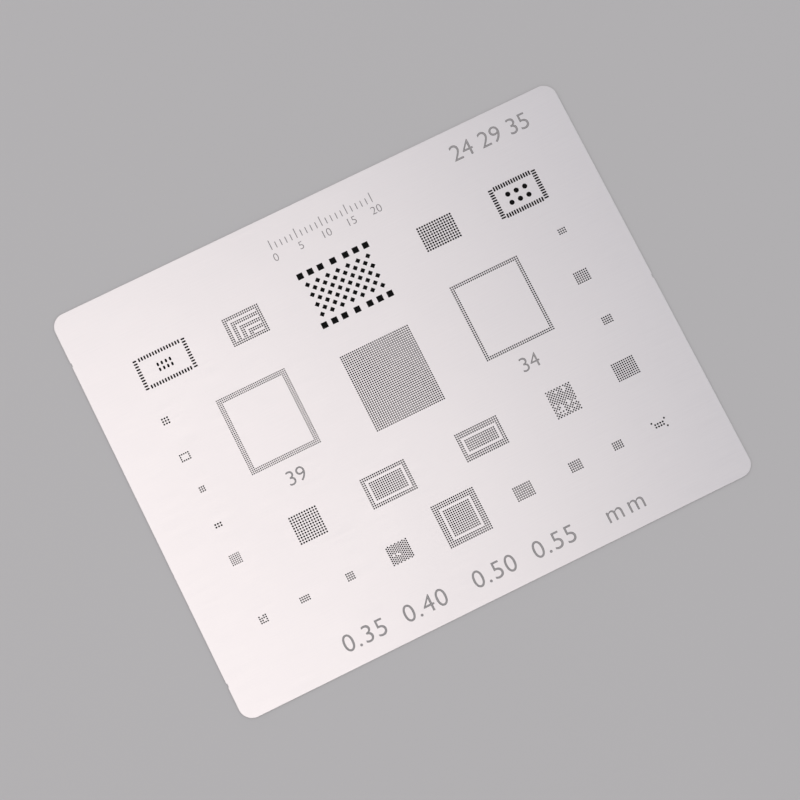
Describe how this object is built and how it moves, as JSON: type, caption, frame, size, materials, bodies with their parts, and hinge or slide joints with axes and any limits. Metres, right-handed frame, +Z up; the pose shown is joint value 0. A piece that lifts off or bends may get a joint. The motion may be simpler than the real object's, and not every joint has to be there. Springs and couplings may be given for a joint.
{
  "type": "bga reballing stencil",
  "caption": "Thin flat stainless steel sheet with rounded corners and many fields of small apertures, laid over a chip to place solder balls or paste.",
  "frame": {"origin": "middle of the sheet's underside", "axes": "+X along the long side, +Y towards the marked long edge, +Z up out of the sheet's marked face"},
  "size_m": [0.1, 0.08, 0.0001],
  "materials": {
    "steel": "satin"
  },
  "bodies": {
    "root": {"stencil_sheet": "steel"}
  },
  "joints": []
}
